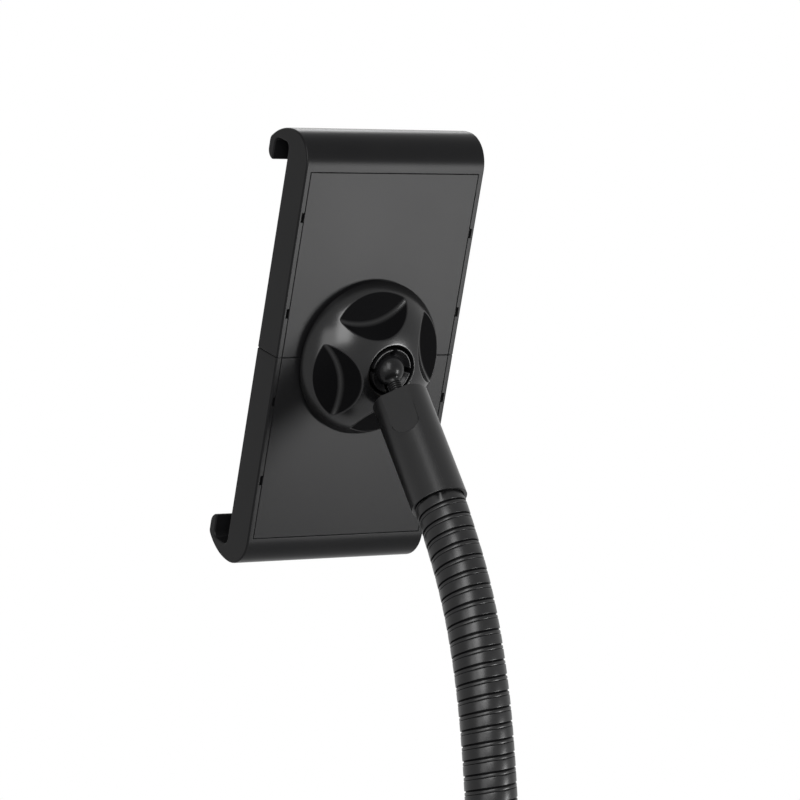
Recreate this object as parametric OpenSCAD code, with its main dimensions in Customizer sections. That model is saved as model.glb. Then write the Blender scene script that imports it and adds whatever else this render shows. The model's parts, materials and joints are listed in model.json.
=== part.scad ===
// Adjustable tablet floor stand: a weighted base, a telescopic pole, a gooseneck, and a
// sprung two-jaw holder on a lockable ball joint.
// Millimetres, +Z up, the pole stands on the Z axis, the floor is Z = 0, and the tablet faces -Y.

/* [Base] */
// Radius of the steel base weight
base_r = 145; // [120:1:180]
// Thickness of the steel base weight
base_t = 12; // [10:0.5:20]
// Thickness of the rubber mat under the weight
mat_t = 3; // [2:0.5:6]
// How far the edge of the mat lies inside the edge of the weight
mat_inset = 4; // [2:0.5:12]
// Wall of the base cover
cover_t = 1.6; // [1:0.1:3]
// Height of the base cover's hub above the weight
cover_rise = 12; // [6:0.5:25]
// Radius at which the base cover starts to rise
cover_slope_r = 110; // [80:1:115]
// Radius of the flat hub of the base cover
hub_r = 34; // [28:1:45]
// Corner radius of the base cover's rim
rim_round = 5; // [2:0.5:8]
// Height of the trim collar at the foot of the pole
foot_collar_h = 24; // [14:1:40]
// Wall of the trim collar
foot_collar_t = 7; // [4:0.5:12]

/* [Pole] */
// Outer radius of the fixed tube
outer_r = 14; // [13:0.5:18]
// Length of the fixed tube
outer_len = 525; // [450:5:700]
// Outer radius of the sliding tube
inner_r = 11; // [9.5:0.1:11.2]
// Wall of both tubes
tube_t = 1.5; // [1.2:0.1:2]
// Height of the sliding tube's lower end above the weight
inner_foot = 48; // [42:1:80]
// How far the sliding tube stands out of the fixed tube when it is pushed right down
inner_show = 80; // [66:1:140]
// Length of the guide bushes
bush_len = 25; // [15:1:40]
// Diameter of the base bolt
bolt_d = 12; // [8:1:14]
// Length of the threaded plug in the foot of the fixed tube
insert_len = 32; // [20:1:38]

/* [Height lock] */
// Outer radius of the lock collar
collar_r = 19; // [18:0.5:26]
// Length of the lock collar that grips the fixed tube
collar_grip = 28; // [18:1:40]
// Length of the lock collar above the fixed tube
collar_neck = 34; // [28:1:45]
// Radius of the boss on the side of the lock collar
boss_r = 11; // [9.5:0.5:13]
// Reach of that boss from the pole's axis
boss_reach = 33; // [29:1:45]
// Diameter of the height clamping screw
clamp_screw_d = 8; // [5:0.5:9]
// Radius of the height knob
height_knob_r = 20; // [16:0.5:28]
// Thickness of the height knob
height_knob_t = 16; // [12:0.5:24]
// How far the brake shoe backs off when the height knob is opened
shoe_travel = 0.9; // [0.5:0.1:1.5]

/* [Gooseneck] */
// Outer radius of the gooseneck
neck_r = 11; // [9:0.1:12]
// Radius of the hollow along the gooseneck
neck_bore_r = 5; // [3:0.1:6]
// Pitch of the wound bands
band_pitch = 6.5; // [5.5:0.1:8]
// Bands between two bending points
bands_per_link = 6; // [5:1:8]
// Width of the wide band in each turn
band_w = 4.4; // [4.2:0.1:4.8]
// Width of the narrow strip in each turn
strip_w = 1.1; // [0.6:0.1:1.2]
// Width of each groove beside the narrow strip
groove_w = 0.45; // [0.2:0.05:0.6]
// Depth of the grooves between the bands
groove_d = 0.4; // [0.2:0.05:0.5]
// How far the narrow strip lies below the wide band
strip_drop = 0.12; // [0.05:0.01:0.2]
// Running gap between two links
link_gap = 0.3; // [0.2:0.05:0.5]

/* [Neck ends] */
// Outer radius of the sleeve behind the ball
sleeve_r = 12.3; // [11.4:0.1:14]
// Length of the sleeve
sleeve_len = 52; // [45:1:70]
// Distance from the ball's centre to the sleeve
stud_show = 15.4; // [14:0.1:20]
// Gap between the sleeve and its bending point
sleeve_lip = 3; // [2.5:0.1:4]
// Width of the spanner flats on the sleeve
flat_w = 12; // [6:0.1:14]
// Length of the spanner flats
flat_len = 21; // [12:0.5:30]
// Turn of the spanner flats about the sleeve
flat_turn = 136; // [0:1:180]
// Outer radius of the ferrule at the foot of the gooseneck
ferrule_r = 12.4; // [12.3:0.1:16]
// Length of the ferrule over the sliding tube
ferrule_grip = 24; // [15:1:35]
// Length of the ferrule above the sliding tube
ferrule_neck = 18; // [12:1:30]

/* [Ball joint] */
// Radius of the ball
ball_r = 6.8; // [6:0.1:7.5]
// Radius of the ball's threaded stud
stud_r = 3.2; // [2:0.1:3.5]
// Length of the stud inside the sleeve
stud_grip = 15; // [10:0.5:20]
// Height of the ball's centre over the holder's back
ball_w = 17.8; // [17.4:0.1:22]
// Wall of the split collet round the ball
collet_t = 2.7; // [1.8:0.1:3]
// How far the collet reaches past the ball's centre
collet_lip = 2.7; // [2:0.1:3.5]
// Width of the slots in the collet
collet_slot = 2.2; // [0.8:0.1:2.5]
// Radius of the lock knob
knob_r = 34.5; // [32:0.5:40]
// Height of the lock knob's opening over the holder's back
knob_top = 20.3; // [19:0.1:24]
// Height of the straight rim under the lock knob's dome
knob_rim_t = 1.2; // [0.6:0.1:3]
// Radius of the lock knob's opening
knob_open_r = 11.4; // [10.6:0.1:12.5]
// Height of the thumb scoops' floor over the holder's back, at its wall
scoop_floor = 10.6; // [9.5:0.1:12]
// Fall of that floor towards the knob's rim
scoop_fall = 16; // [10:1:20]
// Radius of each thumb scoop
scoop_r = 43.5; // [36:0.5:50]
// Distance from the knob's axis to each thumb scoop's wall, at its floor
scoop_wall = 20.2; // [19.5:0.1:22]
// Lean of each thumb scoop's wall
scoop_lean = 33.5; // [25:0.5:36]
// Turn of the thumb scoops
scoop_turn = 16.5; // [0:0.5:89.5]

/* [Holder] */
// Width of the holder
holder_w = 91.6; // [80:0.1:110]
// Thickness of the holder
holder_t = 16; // [15:0.1:20]
// Length of each back cover
cover_len = 81.8; // [76:0.2:110]
// Width of the rail beside each back cover
rail_w = 2.6; // [1.5:0.1:4]
// Thickness of the back covers
back_t = 2.2; // [1.5:0.1:3]
// Width of the ledge under each side of a back cover
ledge_w = 2.2; // [1:0.1:4]
// Thickness of the holder's front wall
front_t = 2.5; // [2:0.1:3.5]
// Reach of the hook's outer curve past the back cover
hook_reach = 15; // [13.9:0.1:20]
// Inner height of the hook past the back cover
hook_inside = 8.4; // [6:0.1:10]
// Radius of the hook's inside corners
hook_corner = 3; // [1.5:0.1:3.5]
// Clear depth of the hook for the tablet
hook_depth = 11; // [8:0.1:16]
// Thickness of the hook's lip
lip_t = 4.4; // [3:0.1:6]
// How far the lip covers the tablet's face past the back cover's end
lip_drop = 1.8; // [0:0.1:4]
// Radius of the hook's curve on the back
hook_back_round = 13.5; // [10:0.1:13.7]
// Radius of the lip's front corner
lip_round = 3; // [1.5:0.1:4]
// Thickness of the rubber pads
pad_t = 1.2; // [0.8:0.1:2]
// Width of the rubber pads
pad_w = 76; // [50:1:80]

/* [Clamp drive] */
// Half length of the slide frame inside the holder
frame_half = 58; // [54:1:60]
// Tooth module of the racks and the pinion
tooth_module = 1; // [0.8:0.05:1.1]
// Number of teeth on the pinion
pinion_teeth = 16; // [14:2:18]
// Play between teeth
backlash = 0.2; // [0.15:0.05:0.35]
// Thickness of the racks and the pinion
rack_t = 3.8; // [3:0.1:4]
// Width of a rack behind its teeth
rack_back = 5; // [3.5:0.1:6]
// Travel of each jaw
jaw_travel = 40; // [20:1:42]
// Radius of the spring drum under the pinion
drum_r = 18; // [15:0.5:22]
// Thickness of the return spring's strip
spring_t = 0.5; // [0.3:0.05:0.8]
// Turns of the return spring
spring_turns = 4; // [2:0.5:5]
// Radius of the pinion's pin
pin_r = 2; // [1.5:0.1:2.5]
// Radius of the threaded boss that carries the lock knob
pivot_boss_r = 12.9; // [12.6:0.1:15]

/* [Pose] */
// Backward lean of the holder
head_pitch = 16.35; // [0:0.05:30]
// Lean of the sleeve from upright
sleeve_lean = 34.8; // [30:0.1:45]

/* [Hidden] */
$fn = 96;

// Clearances: a fixed fit, a running fit, and an overrun that takes cuts past a face
fit = 0.05;
run = 0.3;
over = 1;

// Lean of each link from upright, from the foot of the gooseneck to its top
link_lean = [0, 0.3, 1.5, 4, 8, 16.5, 28.5];

// Heights along the pole
weight_top = mat_t + base_t;
hub_top = weight_top + cover_rise + cover_t;
outer_top = weight_top + outer_len;
inner_bottom = weight_top + inner_foot;
inner_top = outer_top + inner_show;
ferrule_top = inner_top + ferrule_neck;
neck_foot = ferrule_top + sleeve_lip;
outer_bore = outer_r - tube_t;
inner_bore = inner_r - tube_t;

// Base bolt and washer in the weight's underside
bolt_r = bolt_d / 2;
bolt_head_r = bolt_r * 1.7;
bolt_head_h = 4.5;
bolt_end_gap = 4;
washer_t = 1.5;
washer_r = bolt_head_r + 0.5;
bolt_head_z = mat_t + run;
washer_z = bolt_head_z + bolt_head_h;
seat_z = washer_z + washer_t;

// Height lock, whose screw lies along +X
lock_z = outer_top + collar_neck / 2;
screw_r = clamp_screw_d / 2;
shoe_r = screw_r + 2;
shoe_t = 5;
shoe_face = inner_r + run;
shoe_back = shoe_face + shoe_t;
knob_x = boss_reach + run;
knob_cap = 3;
screw_end = knob_x + height_knob_t - knob_cap - shoe_travel;
grip_lobes = 6;
grip_scallop_r = height_knob_r * 0.42;

// Gooseneck
link_len = bands_per_link * band_pitch;
links = len(link_lean);
socket_r = neck_r + link_gap;

// Place of each bending point, and of the ball
function along(lean, length) = length * [0, -sin(lean), cos(lean)];
function bend(i) = i == 0 ? [0, 0, neck_foot] : bend(i - 1) + along(link_lean[i - 1], link_len);
ball_to_bend = stud_show + sleeve_len + sleeve_lip;
ball_at = bend(links) + along(sleeve_lean, ball_to_bend);
back_normal = [0, cos(head_pitch), -sin(head_pitch)];
plate_at = ball_at - ball_w * back_normal;
stud_tilt = 90 - head_pitch - sleeve_lean;

// Sleeve
flat_depth = sleeve_r - sqrt(sleeve_r * sleeve_r - flat_w * flat_w / 4);
sleeve_end = stud_show + sleeve_len;
insert_wall = 3.5;
insert_floor = 2;
insert_r = stud_r + insert_wall;
insert_end = stud_show + stud_grip + insert_floor;

// Ball joint
collet_base = 4;
socket_depth = 5;
collet_r = ball_r + collet_t + run / 2;
collet_top = ball_w + collet_lip;
collet_rim = 0.5;
collet_grip = 0.9;
throat = ball_w - collet_t;
collet_foot = ball_w - ball_r - collet_base;
socket_floor = collet_foot - run;
boss_top = socket_floor + socket_depth;
socket_bore = collet_r + run;
knob_foot = 2 * run;
knob_seat = boss_top + run;
knob_rim_top = knob_foot + knob_rim_t;
scoops = 4;
// The dome is the flattened ball through the opening's edge and the rim's edge
dome_at = -4;
dome_steps = 16;
dome_low = knob_rim_top - dome_at;
dome_high = knob_top - dome_at;
dome_squash = sqrt((dome_high * dome_high - dome_low * dome_low)
    / (knob_r * knob_r - knob_open_r * knob_open_r));
dome_r = norm([knob_r, dome_low / dome_squash]);

// Holder: local x across, y up along the holder, z outward from its back
seam = 3 * fit;
end_ledge = 3;
cover_half = holder_w / 2 - rail_w;
cavity_half = cover_half - ledge_w;
cavity_len = cover_len - end_ledge;
cavity_front = front_t - holder_t;
lip_in = -holder_t - hook_depth;
lip_out = lip_in - lip_t;
hook_top = cover_len + hook_reach;
hook_mid = -hook_back_round;
hook_roof = cover_len + hook_inside;
// Outer curve of the hook: from its apex to the lip's front corner
nose_setback = 9;
hook_drop = lip_out + lip_round - hook_mid;
hook_nose = hook_top - nose_setback;
nose_shift = hook_top - lip_round - hook_nose;
hook_front_r = lip_round + (hook_drop * hook_drop + nose_shift * nose_shift) / (2 * nose_shift);
nose_turn = atan2(hook_drop, hook_nose - hook_top + hook_front_r);
boss_cut_r = pivot_boss_r + 2 * run;
notch_w = 4;
notch_d = 1.2;
notch_places = [[0.24, 0.757], [0.24, 0.675]];

// Slide frame and drive, by height under the back
plate_top = -back_t - run;
plate_t = 2;
frame_top = plate_top - plate_t;
frame_floor = cavity_front + run;
frame_floor_t = 1.5;
frame_x = cavity_half - run;
rack_top = frame_top - run;
rack_low = rack_top - rack_t;
drum_top = rack_low - run;
drum_low = frame_floor + frame_floor_t + run;
drum_wall = 1;
drum_web = 0.6;
pitch_r = tooth_module * pinion_teeth / 2;
addendum = 0.85 * tooth_module;
dedendum = 1.2 * tooth_module;
tooth_pitch = PI * tooth_module;
tooth_half = tooth_pitch / 4 - backlash / 2;
pressure = 20;
mesh_half = 6;
rack_root = pitch_r + dedendum;
rack_x = rack_root + rack_back;
rack_teeth_half = ceil(mesh_half / tooth_pitch);
rack_tail = ceil((jaw_travel + mesh_half) / tooth_pitch);
rack_foot_gap = 2;
rack_foot_w = 7;
rack_foot_len = cavity_len - frame_half - rack_foot_gap;
rack_foot_out = rack_x + rack_foot_w;
rack_screw_r = 1.5;
rack_screw_head_r = 2.8;
rack_screw_head_t = 1.4;
rack_screw_at = [rack_x, cavity_len - rack_foot_len / 2];
plate_half = [34, 30];
plate_screw_inset = 4.5;
plate_screw_at = plate_half - [plate_screw_inset, plate_screw_inset];
plate_screw_r = 1.5;
plate_screw_head_r = 2.6;
plate_screw_head_t = 1.1;
screw_floor = 2;
pin_floor = 0.6;
hub_wall = 1.5;
hub_r_in_drum = pin_r + hub_wall;
spring_in = hub_r_in_drum + run;
spring_out = drum_r - drum_wall - run - spring_t;
spring_steps = 24;
pad_low = 12;
pad_gap = 2;

// Looks
black_plastic = [0.16, 0.16, 0.17];
black_metal = [0.13, 0.13, 0.14];
dark_rubber = [0.09, 0.09, 0.09];
steel = [0.62, 0.63, 0.65];
nylon = [0.24, 0.24, 0.25];
brass = [0.71, 0.6, 0.35];

// Points of an arc, from one angle to another
function arc(centre, radius, from, to, steps) =
    [for (i = [0:steps]) let (a = from + (to - from) * i / steps) centre + radius * [cos(a), sin(a)]];

// A round tube standing on z = 0
module tube(outside, inside, length) {
    difference() {
        cylinder(r = outside, h = length);
        translate([0, 0, -over]) cylinder(r = inside, h = length + 2 * over);
    }
}

// A cylinder between two heights
module post(radius, low, high) {
    translate([0, 0, low]) cylinder(r = radius, h = high - low);
}

// A block between two corners
module block(low, high) {
    translate(low) cube(high - low);
}

// A solid with its axis along +X at the height lock
module at_lock() {
    translate([0, 0, lock_z]) rotate([0, 90, 0]) children();
}

// The holder's own frame, its origin on its back at the parting line
module on_holder() {
    translate(plate_at) rotate([-head_pitch, 0, 0]) rotate([90, 0, 180]) children();
}

// The stud's frame, its origin at the ball's centre and its z along the stud
module on_stud() {
    on_holder() translate([0, 0, ball_w]) rotate([stud_tilt, 0, 0]) children();
}

// The lower half of the holder is the upper half turned about the back's normal
module on_lower() {
    on_holder() rotate([0, 0, 180]) children();
}

// Extrudes an outline of [up, out] points across the holder
module across(width) {
    rotate([90, 0, 90]) linear_extrude(width, center = true) children();
}

module base_mat() {
    color(dark_rubber) cylinder(r = base_r - mat_inset, h = mat_t);
}

module base_weight() {
    color(black_metal) difference() {
        post(base_r, mat_t, weight_top);
        post(bolt_r + run, mat_t, weight_top + over);
        post(washer_r + run, mat_t - over, seat_z);
    }
}

module base_cover() {
    inside = base_r + run;
    outside = inside + cover_t;
    rim_top = weight_top + cover_t;
    low = mat_t / 2;
    bore = outer_r + run;
    color(black_metal) rotate_extrude() polygon(concat(
        [[inside, low], [outside, low]],
        arc([outside - rim_round, rim_top - rim_round], rim_round, 0, 90, 8),
        [[cover_slope_r, rim_top], [hub_r, hub_top], [bore, hub_top], [bore, hub_top - cover_t],
            [hub_r, hub_top - cover_t], [cover_slope_r, weight_top], [inside, weight_top]]));
}

module base_bolt() {
    color(steel) {
        translate([0, 0, bolt_head_z]) cylinder(r = bolt_head_r, h = bolt_head_h, $fn = 6);
        post(bolt_r, washer_z, weight_top + insert_len - bolt_end_gap);
    }
}

module base_washer() {
    color(steel) translate([0, 0, washer_z]) tube(washer_r, bolt_r + fit, washer_t);
}

module foot_collar() {
    outside = outer_r + foot_collar_t;
    round_r = foot_collar_t / 2;
    top = hub_top + foot_collar_h;
    color(black_plastic) rotate_extrude() polygon(concat(
        [[outer_r + fit, hub_top], [outside, hub_top]],
        arc([outside - round_r, top - round_r], round_r, 0, 90, 8),
        [[outer_r + fit, top]]));
}

module outer_tube() {
    color(black_metal) translate([0, 0, weight_top]) tube(outer_r, outer_bore, outer_len);
}

module tube_insert() {
    color(steel) translate([0, 0, weight_top]) tube(outer_bore - fit, bolt_r + fit, insert_len);
}

module tube_bush() {
    color(nylon) translate([0, 0, outer_top - bush_len]) tube(outer_bore - fit, inner_r + run, bush_len);
}

module lock_collar() {
    color(black_plastic) difference() {
        union() {
            post(collar_r, outer_top - collar_grip, outer_top + collar_neck);
            at_lock() cylinder(r = boss_r, h = boss_reach);
        }
        post(outer_r + fit, outer_top - collar_grip - over, outer_top);
        post(inner_r + run, outer_top - over, outer_top + collar_neck + over);
        at_lock() cylinder(r = shoe_r + run, h = shoe_back + shoe_travel + run);
        at_lock() cylinder(r = screw_r + run, h = boss_reach + over);
    }
}

// The knob turns on the boss and its nut draws the screw in and out
module height_knob() {
    color(black_plastic) at_lock() difference() {
        post(height_knob_r, knob_x, knob_x + height_knob_t);
        for (i = [0:grip_lobes - 1])
            rotate([0, 0, 360 * i / grip_lobes]) translate([height_knob_r + grip_scallop_r / 2, 0, 0])
                post(grip_scallop_r, knob_x - over, knob_x + height_knob_t + over);
        post(screw_r + run, knob_x - over, knob_x + height_knob_t - knob_cap + run);
    }
}

module clamp_screw() {
    color(steel) at_lock() post(screw_r, shoe_back, screw_end);
}

module brake_shoe() {
    color(nylon) difference() {
        at_lock() post(shoe_r, 0, shoe_back);
        post(shoe_face, lock_z - 2 * shoe_r, lock_z + 2 * shoe_r);
    }
}

module inner_tube() {
    color(black_metal) translate([0, 0, inner_bottom]) tube(inner_r, inner_bore, inner_top - inner_bottom);
}

module inner_tube_bush() {
    color(nylon) translate([0, 0, inner_bottom]) tube(outer_bore - run, inner_r + fit, bush_len);
}

module neck_plug() {
    plug_r = inner_bore - fit;
    color(steel) translate([0, 0, inner_top - ferrule_grip]) tube(plug_r, neck_bore_r, ferrule_grip);
}

module neck_ferrule() {
    color(black_metal) difference() {
        union() {
            post(ferrule_r, inner_top - ferrule_grip, ferrule_top);
            post(neck_r, ferrule_top - over, neck_foot);
            translate([0, 0, neck_foot]) sphere(r = neck_r);
        }
        post(inner_r + fit, inner_top - ferrule_grip - over, inner_top);
        post(neck_bore_r, inner_top - over, neck_foot + 2 * neck_r);
    }
}

// One straight stretch of the gooseneck: a cup below that rides on the round head underneath it,
// wound bands, and a round head on top
module neck_link(i) {
    low_r = neck_r - groove_d;
    strip_r = neck_r - strip_drop;
    turn = [[neck_r, 0], [neck_r, band_w], [low_r, band_w], [low_r, band_w + groove_w],
        [strip_r, band_w + groove_w], [strip_r, band_w + groove_w + strip_w],
        [low_r, band_w + groove_w + strip_w], [low_r, band_pitch]];
    color(black_metal) translate(bend(i)) rotate([link_lean[i], 0, 0]) difference() {
        union() {
            rotate_extrude() polygon(concat([[0, 0]],
                [for (b = [0:bands_per_link - 1], p = turn) p + [0, b * band_pitch]],
                [[0, link_len]]));
            translate([0, 0, link_len]) sphere(r = neck_r);
        }
        sphere(r = socket_r);
        post(neck_bore_r, 0, link_len + 2 * neck_r);
    }
}

// One spanner flat with a round inner end
module spanner_flat() {
    translate([sleeve_r - flat_depth, 0, stud_show]) rotate([90, 0, 90]) linear_extrude(sleeve_r) {
        translate([-flat_w / 2, -over]) square([flat_w, flat_len - flat_w / 2 + over]);
        translate([0, flat_len - flat_w / 2]) circle(r = flat_w / 2);
    }
}

module neck_sleeve() {
    color(black_metal) on_stud() difference() {
        post(sleeve_r, stud_show, sleeve_end);
        for (side = [0, 180]) rotate([0, 0, flat_turn + side]) spanner_flat();
        post(insert_r + fit, stud_show - over, insert_end);
        post(neck_bore_r, insert_end - over, sleeve_end);
        translate([0, 0, ball_to_bend]) sphere(r = socket_r);
    }
}

module stud_insert() {
    color(brass) on_stud() translate([0, 0, stud_show])
        tube(insert_r, stud_r + run, insert_end - stud_show);
}

module ball_stud() {
    color(black_metal) on_stud() {
        sphere(r = ball_r);
        post(stud_r, ball_r / 2, stud_show + stud_grip);
    }
}

// The split collet sits in the boss and its four fingers close round the ball, under a funnel
module ball_collet() {
    slot_floor = ball_w - ball_r;
    color(nylon) on_holder() difference() {
        rotate_extrude() polygon([[0, collet_foot], [collet_r, collet_foot], [collet_r, collet_top],
            [collet_r - collet_rim, collet_top], [ball_r + run, ball_w + collet_grip],
            [0, ball_w + collet_grip]]);
        translate([0, 0, ball_w]) sphere(r = ball_r + run / 2);
        post(ball_r / 2, collet_foot - over, ball_w);
        for (turn = [0, 90]) rotate([0, 0, turn])
            block([-2 * collet_r, -collet_slot / 2, slot_floor],
                [2 * collet_r, collet_slot / 2, collet_top + over]);
    }
}

// One thumb scoop: a floor that falls to the rim and a round wall that leans in over the knob
module thumb_scoop() {
    intersection() {
        translate([scoop_wall + scoop_r / cos(scoop_lean), 0, scoop_floor]) rotate([0, -scoop_lean, 0])
            translate([0, 0, -scoop_r]) cylinder(r = scoop_r, h = 4 * scoop_r);
        translate([scoop_wall, 0, scoop_floor]) rotate([0, scoop_fall, 0])
            post(2 * knob_r, 0, 2 * knob_top);
    }
}

// The lock knob runs on the boss and its throat closes the collet
module lock_knob() {
    bore = pivot_boss_r + run;
    first = asin(knob_r / dome_r);
    last = asin(knob_open_r / dome_r);
    color(black_plastic) on_holder() difference() {
        rotate_extrude() polygon(concat(
            [[bore, knob_foot], [knob_r, knob_foot]],
            [for (i = [0:dome_steps]) let (a = first + (last - first) * i / dome_steps)
                [0, dome_at] + dome_r * [sin(a), dome_squash * cos(a)]],
            [[socket_bore, throat], [socket_bore, knob_seat], [bore, knob_seat]]));
        for (i = [0:scoops - 1]) rotate([0, 0, scoop_turn + 360 * i / scoops]) thumb_scoop();
    }
}

module pivot_plate() {
    color(black_plastic) on_holder() difference() {
        union() {
            block([-plate_half.x, -plate_half.y, frame_top], [plate_half.x, plate_half.y, plate_top]);
            post(pivot_boss_r, frame_top, boss_top);
        }
        post(socket_bore, socket_floor, boss_top + over);
        post(pin_r + fit, frame_top - over, plate_top);
        for (x = [-1, 1], y = [-1, 1]) translate([x * plate_screw_at.x, y * plate_screw_at.y, 0]) {
            post(plate_screw_head_r + run, plate_top - plate_screw_head_t, plate_top + over);
            post(plate_screw_r + fit, frame_top - over, plate_top);
        }
    }
}

module plate_screws() {
    color(steel) on_holder()
        for (x = [-1, 1], y = [-1, 1]) translate([x * plate_screw_at.x, y * plate_screw_at.y, 0]) {
            post(plate_screw_head_r, plate_top - plate_screw_head_t, plate_top);
            post(plate_screw_r, frame_floor + screw_floor + run, plate_top - plate_screw_head_t);
        }
}

// The block that both jaws slide on, with a channel for each rack and a well for the pinion
module slide_frame() {
    color(nylon) on_holder() difference() {
        block([-frame_x, -frame_half, frame_floor], [frame_x, frame_half, frame_top]);
        for (side = [0, 180]) rotate([0, 0, side])
            block([pitch_r - addendum - run, -frame_half - over, rack_low - run / 2],
                [rack_x + run, frame_half + over, frame_top + over]);
        post(pitch_r + dedendum, rack_low - run / 2, frame_top + over);
        post(drum_r + run, drum_low - run, frame_top + over);
        post(pin_r + fit, frame_floor + pin_floor, frame_top);
        for (x = [-1, 1], y = [-1, 1]) translate([x * plate_screw_at.x, y * plate_screw_at.y, 0])
            post(plate_screw_r + fit, frame_floor + screw_floor, frame_top + over);
    }
}

// Half width angle of a pinion tooth at a radius, from the involute of its base circle
base_circle = pitch_r * cos(pressure);
function involute(a) = tan(a) - a * PI / 180;
function tooth_angle(r) = (tooth_half / pitch_r + involute(pressure)
    - involute(acos(min(1, base_circle / r)))) * 180 / PI;

// The pinion and, under it, the open drum that the return spring lies in
module pinion() {
    root = pitch_r - dedendum;
    tip = pitch_r + addendum;
    flank = [for (i = [0:4]) base_circle + (tip - base_circle) * i / 4];
    color(nylon) on_holder() difference() {
        union() {
            translate([0, 0, rack_low]) linear_extrude(rack_t) {
                circle(r = root);
                for (i = [0:pinion_teeth - 1]) rotate([0, 0, 360 * i / pinion_teeth]) polygon(concat(
                    [[0, 0], root * [cos(tooth_angle(base_circle)), -sin(tooth_angle(base_circle))]],
                    [for (r = flank) r * [cos(tooth_angle(r)), -sin(tooth_angle(r))]],
                    [for (j = [4:-1:0]) let (r = flank[j]) r * [cos(tooth_angle(r)), sin(tooth_angle(r))]],
                    [root * [cos(tooth_angle(base_circle)), sin(tooth_angle(base_circle))]]));
            }
            post(hub_r_in_drum, drum_low, rack_low + over);
            difference() {
                post(drum_r, drum_low, drum_top);
                post(drum_r - drum_wall, drum_low - over, drum_top - drum_web);
            }
        }
        post(pin_r + fit, drum_low - over, rack_top + over);
    }
}

module pinion_pin() {
    color(steel) on_holder() post(pin_r, frame_floor + pin_floor, plate_top);
}

// A flat spiral strip from the pinion's hub to the drum's wall
module return_spring() {
    steps = spring_steps * spring_turns;
    growth = (spring_out - spring_in) / steps;
    width = drum_top - drum_web - run / 2 - drum_low;
    color(steel) on_holder() translate([0, 0, drum_low]) linear_extrude(width) polygon(concat(
        [for (i = [0:steps]) let (a = 360 * i / spring_steps, r = spring_in + growth * i)
            r * [cos(a), sin(a)]],
        [for (i = [steps:-1:0]) let (a = 360 * i / spring_steps, r = spring_in + growth * i + spring_t)
            r * [cos(a), sin(a)]]));
}

// Outline of a jaw as [up, out] points: its back, the hook's curve, the lip, the hook's inside, its front
hook_outline = concat(
    [[0, 0]],
    arc([hook_top - hook_back_round, hook_mid], hook_back_round, 90, 0, 12),
    arc([hook_top - hook_front_r, hook_mid], hook_front_r, 0, nose_turn, 10),
    arc([hook_nose, lip_out + lip_round], lip_round, nose_turn, -90, 5),
    arc([cover_len - lip_drop + lip_t, lip_in], lip_t, -90, -180, 8),
    arc([hook_roof - hook_corner, lip_in + hook_corner], hook_corner, -90, 0, 6),
    arc([hook_roof - hook_corner, -holder_t - hook_corner], hook_corner, 0, 90, 6),
    [[0, -holder_t]]);

module jaw() {
    color(black_plastic) difference() {
        across(holder_w) polygon(hook_outline);
        block([-cavity_half, -over, cavity_front], [cavity_half, cavity_len, over]);
        block([-cover_half, -over, -back_t], [cover_half, cover_len, over]);
        for (side = [0, 1], place = notch_places[side])
            translate([(2 * side - 1) * cover_half, place * cover_len, 0])
                cube([2 * notch_d, notch_w, back_t], center = true);
        translate(concat(rack_screw_at, 0)) {
            post(rack_screw_head_r + run, -holder_t - over, rack_screw_head_t - holder_t);
            post(rack_screw_r + fit, -holder_t, cavity_front + over);
        }
    }
}

module back_cover() {
    color(black_plastic) difference() {
        block([seam - cover_half, 0, -back_t], [cover_half - seam, cover_len - seam, 0]);
        post(boss_cut_r, -back_t - over, over);
    }
}

module rack() {
    color(nylon) difference() {
        translate([0, 0, rack_low]) union() {
            linear_extrude(rack_t) for (n = [-rack_tail:rack_teeth_half])
                translate([pitch_r, (n + 0.5) * tooth_pitch]) polygon([
                    [dedendum, -tooth_half - dedendum * tan(pressure)],
                    [-addendum, -tooth_half + addendum * tan(pressure)],
                    [-addendum, tooth_half - addendum * tan(pressure)],
                    [dedendum, tooth_half + dedendum * tan(pressure)]]);
            linear_extrude(rack_t) translate([rack_root, -rack_tail * tooth_pitch])
                square([rack_back, rack_tail * tooth_pitch + cavity_len - rack_foot_len + over]);
            translate([rack_root, cavity_len - rack_foot_len, cavity_front - rack_low])
                cube([rack_foot_out - rack_root, rack_foot_len, rack_top - cavity_front]);
        }
        translate(concat(rack_screw_at, 0)) post(rack_screw_r + fit, cavity_front - over, rack_low);
    }
}

module rack_screw() {
    color(steel) translate(concat(rack_screw_at, 0)) {
        post(rack_screw_head_r, -holder_t, rack_screw_head_t - holder_t);
        post(rack_screw_r, rack_screw_head_t - holder_t, rack_low - run);
    }
}

// The angled pad that lines the hook
module lip_pad() {
    bend_at = [hook_roof - hook_corner, lip_in + hook_corner];
    color(dark_rubber) across(pad_w) polygon(concat(
        [[cover_len, lip_in]],
        arc(bend_at, hook_corner, -90, 0, 6),
        [[hook_roof, -holder_t - hook_corner], [hook_roof - pad_t, -holder_t - hook_corner]],
        arc(bend_at, hook_corner - pad_t, 0, -90, 6),
        [[cover_len, lip_in + pad_t]]));
}

// The flat pad on the front of a jaw, clear of the rack's screw
module face_pad() {
    high = rack_screw_at.y - rack_screw_head_r - pad_gap;
    color(dark_rubber) block([-pad_w / 2, pad_low, -holder_t - pad_t], [pad_w / 2, high, -holder_t]);
}

module upper_jaw() { on_holder() jaw(); }
module upper_back_cover() { on_holder() back_cover(); }
module upper_rack() { on_holder() rack(); }
module upper_rack_screw() { on_holder() rack_screw(); }
module upper_lip_pad() { on_holder() lip_pad(); }
module upper_face_pad() { on_holder() face_pad(); }
module lower_jaw() { on_lower() jaw(); }
module lower_back_cover() { on_lower() back_cover(); }
module lower_rack() { on_lower() rack(); }
module lower_rack_screw() { on_lower() rack_screw(); }
module lower_lip_pad() { on_lower() lip_pad(); }
module lower_face_pad() { on_lower() face_pad(); }

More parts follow.
